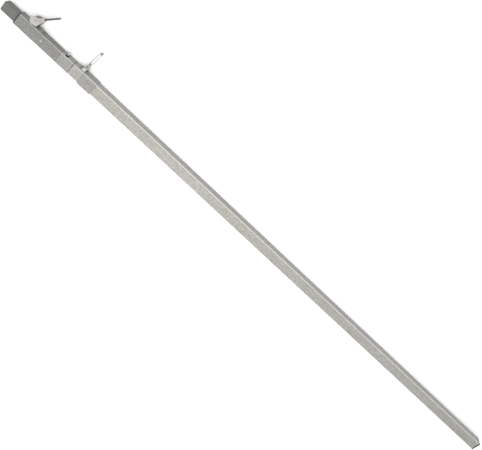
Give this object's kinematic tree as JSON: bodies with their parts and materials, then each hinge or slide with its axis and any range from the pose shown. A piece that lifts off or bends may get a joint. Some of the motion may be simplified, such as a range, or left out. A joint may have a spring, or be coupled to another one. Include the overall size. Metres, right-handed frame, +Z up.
{
  "type": "avalanche probe",
  "caption": "Long square-tube probe pole in nested sections that slide out and are locked by cam levers on one face, with a rubber foot and a moulded end cap.",
  "frame": {"origin": "centre of the end face of the rubber foot, on the pole's axis", "axes": "+X along the pole from the foot to the crown end, the way the sections pull out; +Z up from the surface that the pole lies on; the levers open towards -Y"},
  "size_m": [1.52, 0.084, 0.0284],
  "materials": {
    "tube_aluminium": "satin anodised",
    "dull_aluminium": "matt bead blasted",
    "lever_metal": "tumbled die casting",
    "brass_plate": "worn plate",
    "loop_plastic": "moulded",
    "zinc_steel": "bright zinc plate",
    "spring_steel": "polished",
    "cap_plastic": "fine moulded texture",
    "handle_plastic": "dark moulded",
    "foot_rubber": "matt",
    "pad_rubber": "matt",
    "nylon": "moulded",
    "black_nylon": "moulded",
    "shoe_nylon": "moulded"
  },
  "bodies": {
    "main_section": {"main_tube": "tube_aluminium", "mouth_bumper": "black_nylon", "collar": "tube_aluminium", "collar_rivets": "zinc_steel", "lower_bracket": "zinc_steel", "lower_bracket_rivets": "zinc_steel", "lower_pivot_pin": "zinc_steel", "lower_pivot_washers": "nylon", "lower_shoe_spring": "spring_steel", "foot_plug": "foot_rubber", "foot_screws": "zinc_steel"},
    "middle_section": {"middle_tube": "tube_aluminium", "middle_slide_plug": "nylon", "middle_plug_pin": "zinc_steel", "middle_stop_band": "spring_steel", "upper_sleeve": "dull_aluminium", "upper_guide_bush": "black_nylon", "grip_band": "dull_aluminium", "grip_band_rivets": "zinc_steel", "stop_collar": "tube_aluminium", "stop_collar_liner": "black_nylon", "stop_collar_screw": "nylon", "upper_bracket": "zinc_steel", "upper_bracket_rivets": "zinc_steel", "upper_shoe_spring": "spring_steel"},
    "inner_section": {"inner_tube": "tube_aluminium", "inner_slide_plug": "nylon", "inner_plug_pin": "zinc_steel", "inner_stop_band": "spring_steel", "end_cap": "cap_plastic", "cap_screw": "zinc_steel", "crown_pad": "pad_rubber"},
    "lower_lever": {"lower_lever": "lever_metal", "lower_lever_ferrule": "brass_plate", "lower_lever_loop": "loop_plastic"},
    "lower_shoe": {"lower_shoe": "shoe_nylon", "lower_shoe_pad": "pad_rubber"},
    "upper_lever": {"upper_lever": "lever_metal", "upper_lever_handle": "handle_plastic", "upper_cam": "shoe_nylon", "upper_cam_shaft": "zinc_steel"},
    "upper_shoe": {"upper_shoe": "shoe_nylon", "upper_shoe_pad": "pad_rubber"}
  },
  "joints": [
    {"name": "middle_slide", "type": "slide", "parent": "main_section", "child": "middle_section", "axis": [1, 0, 0], "range_m": [0, 1.14]},
    {"name": "inner_slide", "type": "slide", "parent": "middle_section", "child": "inner_section", "axis": [1, 0, 0], "range_m": [0, 1.23]},
    {"name": "lower_lever_pivot", "type": "hinge", "parent": "main_section", "child": "lower_lever", "pos_m": [1.3267, -0.01945, 0], "axis": [0, 0, 1], "range_deg": [-83, 27]},
    {"name": "lower_shoe_slide", "type": "slide", "parent": "main_section", "child": "lower_shoe", "axis": [0, -1, 0], "range_m": [-0.00083, 0.00027], "deforming": ["lower_shoe_spring"]},
    {"name": "upper_lever_pivot", "type": "hinge", "parent": "middle_section", "child": "upper_lever", "pos_m": [1.4535, -0.0239, 0], "axis": [0, 0, 1], "range_deg": [-48.8, 0]},
    {"name": "upper_shoe_slide", "type": "slide", "parent": "middle_section", "child": "upper_shoe", "axis": [0, -1, 0], "range_m": [-0.000489, 0.000001], "deforming": ["upper_shoe_spring"]}
  ],
  "couplings": [
    {"joint": "lower_shoe_slide", "follows": "lower_lever_pivot", "m_per_rad": 0.00057296},
    {"joint": "upper_shoe_slide", "follows": "upper_lever_pivot", "m_per_rad": 0.00057296}
  ]
}
